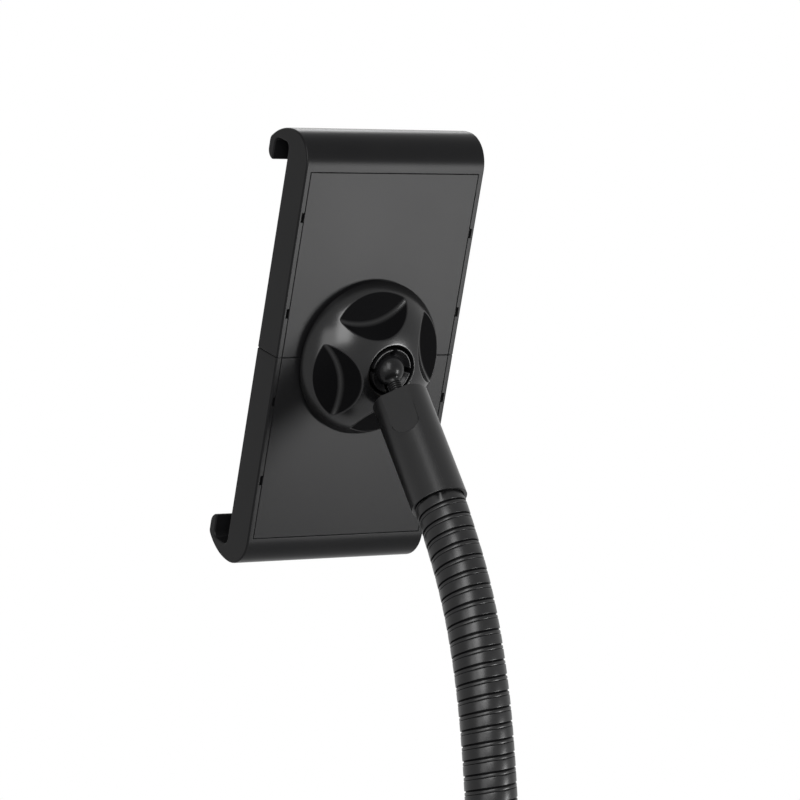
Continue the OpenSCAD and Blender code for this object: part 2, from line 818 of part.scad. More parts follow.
base_mat();
base_weight();
base_cover();
base_bolt();
base_washer();
foot_collar();
outer_tube();
tube_insert();
tube_bush();
lock_collar();
height_knob();
clamp_screw();
brake_shoe();
inner_tube();
inner_tube_bush();
neck_plug();
neck_ferrule();
for (i = [0:links - 1]) neck_link(i);
neck_sleeve();
stud_insert();
ball_stud();
ball_collet();
lock_knob();
pivot_plate();
plate_screws();
slide_frame();
pinion();
pinion_pin();
return_spring();
upper_jaw();
upper_back_cover();
upper_rack();
upper_rack_screw();
upper_lip_pad();
upper_face_pad();
lower_jaw();
lower_back_cover();
lower_rack();
lower_rack_screw();
lower_lip_pad();
lower_face_pad();
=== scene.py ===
import json
from bisect import bisect_right
from math import asin, ceil, cos, floor, hypot, pi, radians, sin, sqrt, tan

import bmesh
import bpy
from mathutils import Matrix, Vector


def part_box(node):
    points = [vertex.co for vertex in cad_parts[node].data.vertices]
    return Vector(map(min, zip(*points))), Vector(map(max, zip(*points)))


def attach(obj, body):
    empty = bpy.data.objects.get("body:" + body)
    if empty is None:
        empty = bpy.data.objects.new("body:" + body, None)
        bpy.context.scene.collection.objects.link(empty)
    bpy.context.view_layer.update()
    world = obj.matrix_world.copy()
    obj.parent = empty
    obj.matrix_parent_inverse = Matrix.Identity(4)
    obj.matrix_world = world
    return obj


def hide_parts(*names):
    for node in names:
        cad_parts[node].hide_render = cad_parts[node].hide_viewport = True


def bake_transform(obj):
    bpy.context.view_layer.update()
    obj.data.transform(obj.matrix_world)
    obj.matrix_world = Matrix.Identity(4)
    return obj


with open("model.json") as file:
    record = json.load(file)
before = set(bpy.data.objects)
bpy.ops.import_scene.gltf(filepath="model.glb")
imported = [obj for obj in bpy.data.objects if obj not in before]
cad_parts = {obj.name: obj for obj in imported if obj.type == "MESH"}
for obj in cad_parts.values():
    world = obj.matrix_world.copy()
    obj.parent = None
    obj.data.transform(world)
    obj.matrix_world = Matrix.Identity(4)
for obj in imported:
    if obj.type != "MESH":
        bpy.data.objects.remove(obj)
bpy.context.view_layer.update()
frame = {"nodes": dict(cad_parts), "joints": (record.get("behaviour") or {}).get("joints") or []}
nodes = frame["nodes"]
joints = {joint["name"]: joint for joint in frame["joints"]}
mm = 0.001


# shader helpers

class Wire:
    # wraps a shader socket, so that sums on sockets can be written as plain Python
    def __init__(self, tree, socket=None):
        self.tree, self.socket = tree, socket

    def node(self, kind, settings, sockets, output=0):
        made = self.tree.nodes.new(kind)
        for key, value in settings.items():
            setattr(made, key, value)
        for key, value in sockets.items():
            if isinstance(value, Wire):
                self.tree.links.new(value.socket, made.inputs[key])
            else:
                made.inputs[key].default_value = value
        return Wire(self.tree, made.outputs[output])

    def sum(self, operation, first, second):
        return self.node("ShaderNodeMath", {"operation": operation}, {0: first, 1: second})

    def __add__(self, other):
        return self.sum("ADD", self, other)

    def __radd__(self, other):
        return self.sum("ADD", other, self)

    def __sub__(self, other):
        return self.sum("SUBTRACT", self, other)

    def __rsub__(self, other):
        return self.sum("SUBTRACT", other, self)

    def __mul__(self, other):
        return self.sum("MULTIPLY", self, other)

    def __rmul__(self, other):
        return self.sum("MULTIPLY", other, self)

    def feed(self, shader, name):
        self.tree.links.new(self.socket, shader.inputs[name])


def noise(wire, spot, scale, detail=2.0):
    return wire.node("ShaderNodeTexNoise", {}, {"Vector": spot, "Scale": scale, "Detail": detail})


finishMix = dict(cloudShare=0.7, grainShare=0.3, cloudDetail=3.0)


def makeFinish(name, look):
    material = bpy.data.materials.new(name)
    material.use_nodes = True
    tree = material.node_tree
    tree.nodes.remove(tree.nodes["Principled BSDF"])
    wire = Wire(tree)
    spot = wire.node("ShaderNodeTexCoord", {}, {}, "Object")
    cloud = noise(wire, spot, look["cloud"], finishMix["cloudDetail"])
    grain = noise(wire, spot, look["grain"])
    shade = cloud * finishMix["cloudShare"] + grain * finishMix["grainShare"]
    if "paintedShadeSpecular" in look:      # painted shade: the thumb scoops and grooves get a darker base colour and almost no gloss, standing in for the shade in these hollows
        paintedShade = wire.node("ShaderNodeAttribute", {"attribute_name": "paintedShade"}, {}, "Fac")
        shade = shade * (1 - paintedShade)
    colour = wire.node("ShaderNodeMix", {"data_type": "RGBA"},
                       {"Factor": shade, 6: (*look["dark"], 1), 7: (*look["pale"], 1)}, 2)
    roughness = look["roughness"] + (cloud - 0.5) * look["patches"] + (grain - 0.5) * look["speckle"]
    bump = wire.node("ShaderNodeBump", {}, {"Strength": 1.0, "Distance": look["depth"] * mm, "Height": grain})
    sockets = {"Base Color": colour, "Roughness": roughness, "Normal": bump, "Metallic": look.get("metallic", 0)}
    surface = wire.node("ShaderNodeBsdfPrincipled", {}, {**sockets, "Specular IOR Level": look["specular"]})
    # the painted shade's shader: the same finish with its reflection turned almost off, mixed in by the painted
    # shade mask
    if "paintedShadeSpecular" in look:
        paintedShadeSurface = wire.node("ShaderNodeBsdfPrincipled", {}, {**sockets, "Specular IOR Level": look["paintedShadeSpecular"]})
        surface = wire.node("ShaderNodeMixShader", {}, {0: paintedShade, 1: surface, 2: paintedShadeSurface})
    surface.feed(tree.nodes["Material Output"], "Surface")
    return material


# finishes, by the record's slots; grain and cloud are noise scales per metre, depth is in millimetres
looks = {
    "shell_plastic": dict(dark=(0.003, 0.003, 0.0032), pale=(0.006, 0.006, 0.0063), roughness=0.31, patches=0.05,
                          speckle=0.05, cloud=26, grain=2400, depth=0.006, specular=0.075),
    # the knob and the neck also take a painted shade in their scoops and grooves, with its own low gloss
    "knob_plastic": dict(dark=(0.002, 0.002, 0.0022), pale=(0.004, 0.004, 0.0042), roughness=0.23, patches=0.03,
                         speckle=0.05, cloud=60, grain=2800, depth=0.004, specular=0.3, paintedShadeSpecular=0.015),
    "neck_finish": dict(dark=(0.002, 0.002, 0.0022), pale=(0.004, 0.004, 0.0042), roughness=0.33, patches=0.05,
                        speckle=0.12, cloud=90, grain=1500, depth=0.010, specular=0.28, paintedShadeSpecular=0.015),
    "ball_finish": dict(dark=(0.003, 0.003, 0.0032), pale=(0.006, 0.006, 0.0063), roughness=0.26, patches=0.04,
                        speckle=0.05, cloud=140, grain=2600, depth=0.003, specular=0.14),
    "powder_coat": dict(dark=(0.008, 0.008, 0.0084), pale=(0.013, 0.013, 0.0134), roughness=0.46, patches=0.05,
                        speckle=0.10, cloud=20, grain=1300, depth=0.030, specular=0.2),
    "rubber": dict(dark=(0.008, 0.008, 0.008), pale=(0.014, 0.014, 0.014), roughness=0.78, patches=0.10,
                   speckle=0.12, cloud=80, grain=1700, depth=0.030, specular=0.12),
    "nylon": dict(dark=(0.020, 0.020, 0.021), pale=(0.030, 0.030, 0.031), roughness=0.5, patches=0.06,
                  speckle=0.08, cloud=70, grain=1500, depth=0.010, specular=0.3),
    "steel": dict(dark=(0.42, 0.43, 0.44), pale=(0.56, 0.57, 0.58), roughness=0.3, patches=0.10,
                  speckle=0.15, cloud=200, grain=2200, depth=0.004, specular=0.5, metallic=1),
    "brass": dict(dark=(0.52, 0.38, 0.15), pale=(0.66, 0.50, 0.22), roughness=0.32, patches=0.12,
                  speckle=0.12, cloud=200, grain=1800, depth=0.005, specular=0.5, metallic=1),
}
finishes = {slot: makeFinish(slot + "_look", look) for slot, look in looks.items()}
for cadNode in nodes.values():
    slotName = cadNode.data.materials[0].name
    cadNode.data.materials[0] = finishes[slotName]
print("finishes made:", len(finishes))


# places: x to the side, y up, z outwards, in millimetres

def placeAt(at, up, out):
    axes = Matrix((up.cross(out), up, out)).transposed().to_4x4()
    return Matrix.Translation(at) @ axes @ Matrix.Scale(mm, 4)


backOut = Vector(joints["holder_spin"]["axis"])
jawUp = Vector(joints["upper_jaw_slide"]["axis"])
studOut = Vector(joints["stud_pan"]["axis"])
plateAt = Vector(joints["holder_spin"]["pos_m"])
holderPlace = placeAt(plateAt, jawUp, backOut)
studPlace = placeAt(Vector(joints["stud_pan"]["pos_m"]), studOut.cross(jawUp.cross(backOut)), studOut)
lockPlace = placeAt(Vector(joints["height_knob_turn"]["pos_m"]), Vector((0, 1, 0)), Vector((1, 0, 0)))
polePlace = Matrix.Scale(mm, 4)


# modelling helpers, all in millimetres and degrees

limits = dict(near=0.01, merge=0.001, copyMerge=0.03, flatAngle=0.3, sharpAngle=32)


def filletLine(corners, steps=6):
    # corners are (across, up) or (across, up, fillet radius)
    points = []
    for i, corner in enumerate(corners):
        here = Vector(corner[:2])
        if len(corner) == 2:
            points.append(here)
            continue
        before = (Vector(corners[i - 1][:2]) - here).normalized()
        after = (Vector(corners[(i + 1) % len(corners)][:2]) - here).normalized()
        half = before.angle(after) / 2
        middle = here + (before + after).normalized() * corner[2] / sin(half)
        first = here + before * corner[2] / tan(half) - middle
        last = here + after * corner[2] / tan(half) - middle
        turn = first.angle_signed(last)
        points += [middle + Matrix.Rotation(-turn * k / steps, 2) @ first for k in range(steps + 1)]
    return points


def drawLine(bm, points, ring=True):
    # vertices and edges through (radius, height) points; a ring closes on itself
    line = [bm.verts.new((radius, 0, height)) for radius, height in points]
    ends = line[1:] + line[:1] if ring else line[1:]
    return line, [bm.edges.new(pair) for pair in zip(line, ends)]


def turned(points, segments=96, ring=True):
    # spins a line once round z
    bm = bmesh.new()
    line, edges = drawLine(bm, points, ring)
    bmesh.ops.spin(bm, geom=line + edges, cent=(0, 0, 0), axis=(0, 0, 1), angle=2 * pi, steps=segments,
                   use_merge=True)
    bmesh.ops.remove_doubles(bm, verts=bm.verts, dist=limits["merge"])
    bmesh.ops.recalc_face_normals(bm, faces=bm.faces)
    return bm


def only(kind, geom):
    return [item for item in geom if isinstance(item, kind)]


def bevelEdges(bm, edges, width, steps):
    bmesh.ops.bevel(bm, geom=edges, offset=width, offset_type="OFFSET", affect="EDGES", segments=steps,
                    profile=0.5, material=-1, clamp_overlap=False)


def sharpEdges(bm, wanted=None):
    sharp = radians(limits["sharpAngle"])
    return [edge for edge in bm.edges if edge.is_manifold and edge.calc_face_angle() > sharp
            and (wanted is None or wanted(edge))]


def softCopy(node, where, rounds):
    # a copy of a node's mesh with rounded edges; rounds are (width, steps, test of an edge)
    bm = bmesh.new()
    bm.from_mesh(nodes[node].data)
    bmesh.ops.transform(bm, matrix=where.inverted(), verts=bm.verts)
    bmesh.ops.remove_doubles(bm, verts=bm.verts, dist=limits["copyMerge"])
    bmesh.ops.dissolve_limit(bm, angle_limit=radians(limits["flatAngle"]), verts=bm.verts, edges=bm.edges)
    for width, steps, wanted in rounds:
        bevelEdges(bm, sharpEdges(bm, wanted), width, steps)
    return bm


def addPiece(name, bm, where, slot, body=None, stands=(), sharp=34):
    bmesh.ops.transform(bm, matrix=where, verts=bm.verts)
    bmesh.ops.recalc_face_normals(bm, faces=bm.faces)
    mesh = bpy.data.meshes.new(name)
    bm.to_mesh(mesh)
    bm.free()
    mesh.shade_smooth()
    mesh.set_sharp_from_angle(angle=radians(sharp))
    mesh.materials.append(finishes[slot])
    piece = bpy.data.objects.new(name, mesh)
    bpy.context.scene.collection.objects.link(piece)
    if body:
        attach(piece, body)
    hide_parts(*stands)
    return piece


def evenShade(piece):
    # keeps wide flat faces flat beside their rounded edges
    piece.modifiers.new("even", "WEIGHTED_NORMAL").keep_sharp = True


# holder: the two jaws, their back covers and the frame between them
holder = dict(half=45.8, sideRound=0.7, edgeRound=0.22, partRound=0.4, coverRound=0.2, innerRound=0.3)


def onSide(edge):
    return all(abs(vert.co.x) > holder["half"] - limits["near"] for vert in edge.verts)


def onParting(edge):
    # the edges where the two halves meet
    first, last = edge.verts
    return max(abs(first.co.y), abs(last.co.y)) < limits["near"] and first.co.z + last.co.z > -limits["near"]


for half in ("upper", "lower"):
    jaw = softCopy(half + "_jaw", holderPlace,
                   [(holder["sideRound"], 4, onSide), (holder["edgeRound"], 2, None)])
    evenShade(addPiece(half + "JawShell", jaw, holderPlace, "shell_plastic", half + "_jaw", [half + "_jaw"]))
    cover = softCopy(half + "_back_cover", holderPlace,
                     [(holder["partRound"], 3, onParting), (holder["coverRound"], 2, None)])
    evenShade(addPiece(half + "BackPanel", cover, holderPlace, "shell_plastic", half + "_jaw",
                       [half + "_back_cover"]))
for node, name, slot in (("slide_frame", "slideBlock", "nylon"), ("pivot_plate", "pivotBoss", "shell_plastic")):
    block = softCopy(node, holderPlace, [(holder["innerRound"], 2, None)])
    evenShade(addPiece(name, block, holderPlace, slot, "holder", [node]))
print("holder shells made")


# rubber pads: ribbed plates on the front and angled pads in the hooks
pads = dict(half=38, low=12, high=62.8, front=-16, thick=1.2, ribPitch=3.9, ribGap=0.9, ribDepth=0.45,
            ribSlope=0.15, round=0.3)


def ribbedPad():
    bm = bmesh.new()
    count = round((pads["high"] - pads["low"]) / pads["ribPitch"])
    pitch = (pads["high"] - pads["low"] + pads["ribGap"]) / count
    top, dip = pads["front"] - pads["thick"], pads["front"] - pads["thick"] + pads["ribDepth"]
    outline = [(pads["high"], pads["front"]), (pads["low"], pads["front"])]
    for i in range(count):
        start = pads["low"] + i * pitch
        end = start + pitch - pads["ribGap"]
        outline += [(start, top), (end, top)]
        if i < count - 1:
            outline += [(end + pads["ribSlope"], dip), (start + pitch - pads["ribSlope"], dip)]
    face = bm.faces.new([bm.verts.new((-pads["half"], up, out)) for up, out in outline])
    grown = bmesh.ops.extrude_face_region(bm, geom=[face], use_keep_orig=True)["geom"]
    bmesh.ops.translate(bm, verts=only(bmesh.types.BMVert, grown), vec=(2 * pads["half"], 0, 0))
    bmesh.ops.recalc_face_normals(bm, faces=bm.faces)
    onTop = sharpEdges(bm, lambda edge: all(vert.co.z < top + limits["near"] for vert in edge.verts))
    bevelEdges(bm, onTop, pads["round"] / 2, 2)
    return bm


for half, turn in (("upper", Matrix.Identity(4)), ("lower", Matrix.Rotation(pi, 4, "Z"))):
    addPiece(half + "GripPad", ribbedPad(), holderPlace @ turn, "rubber", half + "_jaw", [half + "_face_pad"])
    lipPad = softCopy(half + "_lip_pad", holderPlace, [(pads["round"], 2, None)])
    evenShade(addPiece(half + "HookPad", lipPad, holderPlace, "rubber", half + "_jaw", [half + "_lip_pad"]))
print("pads made")


# screws with a hexagon socket: a round head, and the shank that holds it
screwHead = dict(segments=48, edge=0.35, crown=0.18, face=0.9)
rackScrew = dict(head=2.8, headHigh=1.4, shank=1.5, shankEnd=8, key=0.9, keyDeep=0.9, sink=0.02)
plateScrew = dict(head=2.6, headHigh=1.1, shank=1.5, shankEnd=7, key=0.85, keyDeep=0.7, across=29.5, up=25.5,
                  top=-2.5)


def socketScrew(size, places):
    bm = bmesh.new()
    for where in places:
        one = bmesh.new()
        bmesh.ops.create_circle(one, cap_ends=True, segments=screwHead["segments"], radius=size["head"])
        head = one.faces[:]
        bmesh.ops.inset_region(one, faces=head, thickness=screwHead["edge"])
        bmesh.ops.translate(one, verts=head[0].verts, vec=(0, 0, screwHead["crown"]))       # the head's soft edge
        bmesh.ops.inset_region(one, faces=head, thickness=screwHead["face"])
        for vert in head[0].verts:      # the inner ring becomes a hexagon
            angle = vert.co.to_2d().angle_signed(Vector((1, 0)))
            reach = size["key"] / cos((angle + pi / 6) % (pi / 3) - pi / 6)
            vert.co.x, vert.co.y = reach * cos(angle), reach * sin(angle)
        deep = bmesh.ops.extrude_face_region(one, geom=head)["geom"]
        bmesh.ops.translate(one, verts=only(bmesh.types.BMVert, deep), vec=(0, 0, -size["keyDeep"]))
        bmesh.ops.translate(one, verts=one.verts, vec=(0, 0, -screwHead["crown"]))
        rim = [edge for edge in one.edges if edge.is_boundary]
        for radius, down in ((None, size["headHigh"]), (size["shank"], 0), (None, size["shankEnd"])):
            rim = only(bmesh.types.BMEdge, bmesh.ops.extrude_edge_only(one, edges=rim)["geom"])
            verts = list({vert for edge in rim for vert in edge.verts})
            if radius:
                bmesh.ops.scale(one, verts=verts, vec=(radius / size["head"], radius / size["head"], 1))
            bmesh.ops.translate(one, verts=verts, vec=(0, 0, -down))
        bmesh.ops.contextual_create(one, geom=rim)
        bmesh.ops.transform(one, matrix=where, verts=one.verts)
        whole = bpy.data.meshes.new("screw")
        one.to_mesh(whole)
        bm.from_mesh(whole)
        bpy.data.meshes.remove(whole)
        one.free()
    return bm


def nodeMiddle(node, where):
    low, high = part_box(node)
    return where.inverted() @ ((low + high) / 2)


faceFront = Matrix.Rotation(pi, 4, "Y")
for half in ("upper", "lower"):
    middle = nodeMiddle(half + "_rack_screw", holderPlace)
    seat = Matrix.Translation((middle.x, middle.y, pads["front"] + rackScrew["sink"])) @ faceFront
    addPiece(half + "RackScrewHead", socketScrew(rackScrew, [seat]), holderPlace, "steel", half + "_jaw",
             [half + "_rack_screw"])
plateScrewSpots = [Matrix.Translation((x * plateScrew["across"], y * plateScrew["up"], plateScrew["top"]))
                   for x in (-1, 1) for y in (-1, 1)]
addPiece("plateScrewHeads", socketScrew(plateScrew, plateScrewSpots), holderPlace, "steel", "holder",
         ["plate_screws"])
print("screws made")


# lock knob: a turned dome with four thumb scoops pressed into it
lockKnob = dict(radius=34.5, foot=0.6, rimTop=1.8, top=20.3, centre=-4, opening=11.4, throat=9.95, throatTop=15.1,
                seat=12, bore=13.2, segments=150, rings=120, scoops=4, scoopTurn=16.5, scoopFloor=10.6, scoopFall=16,
                scoopRadius=43.5, scoopWall=20.2, scoopLean=33.5, rimSoft=0.35, floorSoft=1.5, mouthSoft=0.45,
                mouthRings=3, footRound=0.4)


def softMin(first, second, blend):
    share = max(blend - abs(first - second), 0) / blend
    return min(first, second) - share * share * blend / 4


def scoopForm(x, y):
    # heights of a scoop's floor and of its leaning wall over a point of the knob
    size = lockKnob
    lean = radians(size["scoopLean"])
    step = 2 * pi / size["scoops"]
    angle = Vector((x, y)).angle_signed(Vector((1, 0))) - radians(size["scoopTurn"])
    angle -= step * round(angle / step)
    reach = hypot(x, y)
    along, side = reach * cos(angle), reach * sin(angle)
    axisAt = size["scoopWall"] + size["scoopRadius"] / cos(lean)
    wall = (-sqrt(max(size["scoopRadius"] ** 2 - side * side, 0)) - (along - axisAt) * cos(lean)) / sin(lean)
    fall = (along - size["scoopWall"]) * tan(radians(size["scoopFall"]))
    return size["scoopFloor"] - fall, size["scoopFloor"] + wall


def knobShell():
    size = lockKnob
    # the dome is the ellipse through the rim and the opening
    low, high = size["rimTop"] - size["centre"], size["top"] - size["centre"]
    squash = sqrt((high * high - low * low) / (size["radius"] ** 2 - size["opening"] ** 2))
    reach = hypot(size["radius"], low / squash)
    first, last = asin(size["radius"] / reach), asin(size["opening"] / reach)
    dome = []
    for i in range(size["rings"] + 1):
        turn = first + (last - first) * i / size["rings"]
        dome.append((reach * sin(turn), size["centre"] + reach * squash * cos(turn)))
    foot = filletLine([(size["bore"], size["foot"]), (size["radius"], size["foot"], size["footRound"]), dome[0]], 3)
    dome = dome[:-size["mouthRings"]]
    mouth = filletLine([dome[-1], (size["opening"], size["top"], size["mouthSoft"]),
                        (size["throat"], size["throatTop"])], 5)
    throat = [(size["throat"], size["seat"]), (size["bore"], size["seat"])]
    bm = bmesh.new()
    line, edges = drawLine(bm, foot[:-1] + dome + mouth[1:] + throat)
    bmesh.ops.spin(bm, geom=line + edges, cent=(0, 0, 0), axis=(0, 0, 1), angle=2 * pi / size["scoops"],
                   steps=size["segments"])
    paintedShade = bm.verts.layers.float.new("paintedShade")        # painted shade mask: 1 in the scoops, but not along their creases
    for vert in bm.verts:
        reach = hypot(vert.co.x, vert.co.y)
        if reach > size["opening"] + size["mouthSoft"] and vert.co.z > size["rimTop"] - limits["near"]:
            floorAt, wallAt = scoopForm(vert.co.x, vert.co.y)
            scoop = -softMin(-floorAt, -wallAt, size["floorSoft"])
            inside = min(max((vert.co.z - scoop) / size["rimSoft"], 0), 1)
            vert[paintedShade] = inside * min(abs(floorAt - wallAt) / size["floorSoft"], 1)
            vert.co.z = softMin(vert.co.z, scoop, size["rimSoft"])
    quarter = bm.verts[:] + bm.edges[:] + bm.faces[:]
    for i in range(1, size["scoops"]):
        copy = bmesh.ops.duplicate(bm, geom=quarter)["geom"]
        bmesh.ops.rotate(bm, verts=only(bmesh.types.BMVert, copy), cent=(0, 0, 0),
                         matrix=Matrix.Rotation(2 * pi * i / size["scoops"], 3, "Z"))
    bmesh.ops.remove_doubles(bm, verts=bm.verts, dist=limits["merge"])
    return bm


addPiece("lockKnobDome", knobShell(), holderPlace, "knob_plastic", "lock_knob", ["lock_knob"], 60)
print("lock knob made")


# ball joint: the split collet, the ball and its threaded stud
ball = dict(radius=6.8, neck=2.75, neckFlare=1.3, end=30.4, segments=128, rings=64, thread=3.2, threadRoot=0.15,
            threadPitch=1.0, threadFrom=6.9, threadTo=16.2, threadSteps=48)
splitCollet = dict(lipRound=0.15, lipFrom=18.9)


def ballWithStud():
    size = ball
    span = pi - asin(size["neck"] / size["radius"]) * size["neckFlare"]
    turns = [span * i / size["rings"] for i in range(size["rings"] + 1)]
    arc = [(size["radius"] * sin(turn), -size["radius"] * cos(turn)) for turn in turns]
    bm = turned(arc + [(size["neck"], size["threadFrom"]), (size["neck"], size["end"]), (0, size["end"])],
                size["segments"], ring=False)
    # the thread is one ridge swept up the stud; its heights are shares of the pitch
    pitch, root, steps = size["threadPitch"], size["neck"] - size["threadRoot"], size["threadSteps"]
    ridge = [(root, 0.02), (size["thread"], 0.38), (size["thread"], 0.62), (root, 0.98)]
    line, edges = drawLine(bm, [(radius, size["threadFrom"] + share * pitch) for radius, share in ridge])
    count = int((size["threadTo"] - size["threadFrom"]) / pitch)
    swept = bmesh.ops.spin(bm, geom=line + edges, cent=(0, 0, 0), axis=(0, 0, 1), dvec=(0, 0, pitch / steps),
                           angle=2 * pi * count, steps=steps * count)["geom_last"]
    bmesh.ops.contextual_create(bm, geom=edges)
    bmesh.ops.contextual_create(bm, geom=only(bmesh.types.BMEdge, swept))
    return bm


addPiece("ballAndStud", ballWithStud(), studPlace, "ball_finish", "ball_stud", ["ball_stud"], 40)
collet = softCopy("ball_collet", holderPlace,
                  [(splitCollet["lipRound"], 2, lambda edge: edge.verts[0].co.z > splitCollet["lipFrom"])])
evenShade(addPiece("splitCollet", collet, holderPlace, "ball_finish", "ball_collet", ["ball_collet"]))
print("ball joint made")


# gooseneck: one wound strip, bent along the links and cut at the middle of each link
# paintedShadeBelow: the radius under which the grooves take the painted shade
neck = dict(segments=60, pitch=6.25, footGap=3, endGap=3, tuck=1.0, tuckRadius=10.35, span=15, steps=160,
            paintedShadeBelow=10.6, turn=[
                (10.45, 0), (10.9, 0.03), (10.98, 0.1), (11.0, 0.3), (11.0, 3.6), (10.97, 3.86), (10.9, 4.0),
                (10.5, 4.04), (10.5, 4.2), (10.8, 4.24), (10.9, 4.34), (10.94, 4.6), (10.94, 5.0),
                (10.9, 5.36), (10.8, 5.52), (10.45, 5.58)])
knuckleNames = [("neck_bend_%d" if i % 2 else "neck_sway_%d") % i for i in range(1, 9)]
knuckles = [Vector(joints[name]["pos_m"]) / mm for name in knuckleNames]
neckFoot = knuckles[0] - Vector((0, 0, neck["footGap"] + neck["tuck"]))
neckEnd = knuckles[-1] - studOut * (neck["endGap"] + neck["tuck"])
linkMiddles = [(a + b) / 2 for a, b in zip(knuckles, knuckles[1:])]
bendEnds = [neckFoot] + linkMiddles + [neckEnd]

# the centre line as many short steps: (length so far, point), and the length at each cut
centreLine, cuts = [(0.0, neckFoot)], [0.0]
for start, control, end in zip(bendEnds, knuckles, bendEnds[1:]):
    for i in range(1, neck["steps"] + 1):
        share = i / neck["steps"]
        point = start * (1 - share) ** 2 + control * 2 * share * (1 - share) + end * share ** 2
        centreLine.append((centreLine[-1][0] + (point - centreLine[-1][1]).length, point))
    cuts.append(centreLine[-1][0])
lengths = [length for length, point in centreLine]


def alongNeck(length):
    # point and direction at a length of the centre line
    i = min(max(bisect_right(lengths, length), 1), len(lengths) - 1)
    (before, start), (after, end) = centreLine[i - 1], centreLine[i]
    return start + (end - start) * (length - before) / (after - before), (end - start).normalized()


def woundStretch(low, high):
    bm = bmesh.new()
    size = neck
    firstTurn = floor(low / size["pitch"]) - 1
    turns = ceil(high / size["pitch"]) - firstTurn
    paintedShade = bm.verts.layers.float.new("paintedShade")        # painted shade mask: 1 in the grooves
    profile = size["turn"] + [(size["turn"][0][0], size["pitch"])]
    line, edges = drawLine(bm, [(reach, firstTurn * size["pitch"] + up) for reach, up in profile], ring=False)
    for vert in line:
        vert[paintedShade] = vert.co.x < size["paintedShadeBelow"]
    bmesh.ops.spin(bm, geom=line + edges, cent=(0, 0, 0), axis=(0, 0, 1),
                   dvec=(0, 0, size["pitch"] / size["segments"]), angle=2 * pi * turns,
                   steps=size["segments"] * turns)
    bmesh.ops.remove_doubles(bm, verts=bm.verts, dist=limits["merge"])
    for height, out in ((low, -1), (high, 1)):
        everything = bm.verts[:] + bm.edges[:] + bm.faces[:]
        cut = bmesh.ops.bisect_plane(bm, geom=everything, plane_co=(0, 0, height), plane_no=(0, 0, out),
                                     clear_outer=True)["geom_cut"]
        bmesh.ops.contextual_create(bm, geom=only(bmesh.types.BMEdge, cut))
    for vert in bm.verts:
        length, reach = vert.co.z, hypot(vert.co.x, vert.co.y)
        if min(length, cuts[-1] - length) < size["tuck"] and reach > size["tuckRadius"]:     # the hidden ends
            vert.co.xy = vert.co.xy * size["tuckRadius"] / reach
        point, ahead = alongNeck(length)
        side = Vector((1, 0, 0))
        vert.co = point + side * vert.co.x + ahead.cross(side) * vert.co.y
    return bm


for i, knuckle in enumerate(knuckles):
    stretch = addPiece("woundNeck%d" % i, woundStretch(cuts[i], cuts[i + 1]), polePlace, "neck_finish",
                       stands=["neck_link_%d" % i] if i else [], sharp=50)
    before, after = bendEnds[i] - knuckle, bendEnds[i + 1] - knuckle
    before = before.normalized() * min(neck["span"], before.length)
    after = after.normalized() * min(neck["span"], after.length)
    (knuckle + before) * mm
    (knuckle + after) * mm
    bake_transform(stretch)
print("gooseneck made, length", round(cuts[-1], 1), "mm")


# sleeve behind the ball and the ferrule at the foot of the gooseneck
neckSleeve = dict(edgeRound=0.22, outsideFrom=8.5)
sleeve = softCopy("neck_sleeve", studPlace, [(
    neckSleeve["edgeRound"], 2, lambda edge: edge.verts[0].co.to_2d().length > neckSleeve["outsideFrom"])])
evenShade(addPiece("neckSleeve", sleeve, studPlace, "neck_finish", "sleeve", ["neck_sleeve"], 20))

ferrule = dict(radius=12.4, foot=596, top=638, bore=11.05, boreTop=620, mouth=10.55, mouthFloor=636.5, groove=0.5,
               grooveAt=629, grooveHalf=0.6, grooveRound=0.2, topRound=1.0, footRound=0.8, lipRound=0.3)
size = ferrule
ferruleLine = filletLine([
    (0, size["mouthFloor"]), (size["mouth"], size["mouthFloor"]),
    (size["mouth"], size["top"], size["lipRound"]), (size["radius"], size["top"], size["topRound"]),
    (size["radius"], size["grooveAt"] + size["grooveHalf"], size["grooveRound"]),
    (size["radius"] - size["groove"], size["grooveAt"], size["grooveRound"]),
    (size["radius"], size["grooveAt"] - size["grooveHalf"], size["grooveRound"]),
    (size["radius"], size["foot"], size["footRound"]), (size["bore"], size["foot"], size["lipRound"]),
    (size["bore"], size["boreTop"]), (0, size["boreTop"])], 5)
addPiece("neckFerrule", turned(ferruleLine, 96, ring=False), polePlace, "powder_coat", "mast", ["neck_ferrule"])
print("neck ends made")


# height lock: the collar with its boss, and the lobed knob
lockCollar = dict(edgeRound=0.9, outsideFrom=12)


def onOutside(edge):
    return max(vert.co.to_2d().length for vert in edge.verts) > lockCollar["outsideFrom"]


collarShell = softCopy("lock_collar", polePlace, [(lockCollar["edgeRound"], 4, onOutside)])
evenShade(addPiece("lockCollar", collarShell, polePlace, "knob_plastic", "base", ["lock_collar"]))

heightKnob = dict(radius=20, thick=16, lobes=6, scallop=8.4, scallopAt=24.2, soft=2.4, rimRound=2.2, segments=240,
                  cap=9.5, capLine=[(9.25, 15.3), (8.75, 15.3), (8.4, 15.85, 0.12), (5.5, 16.1), (0, 16.1)],
                  capRound=0.15)


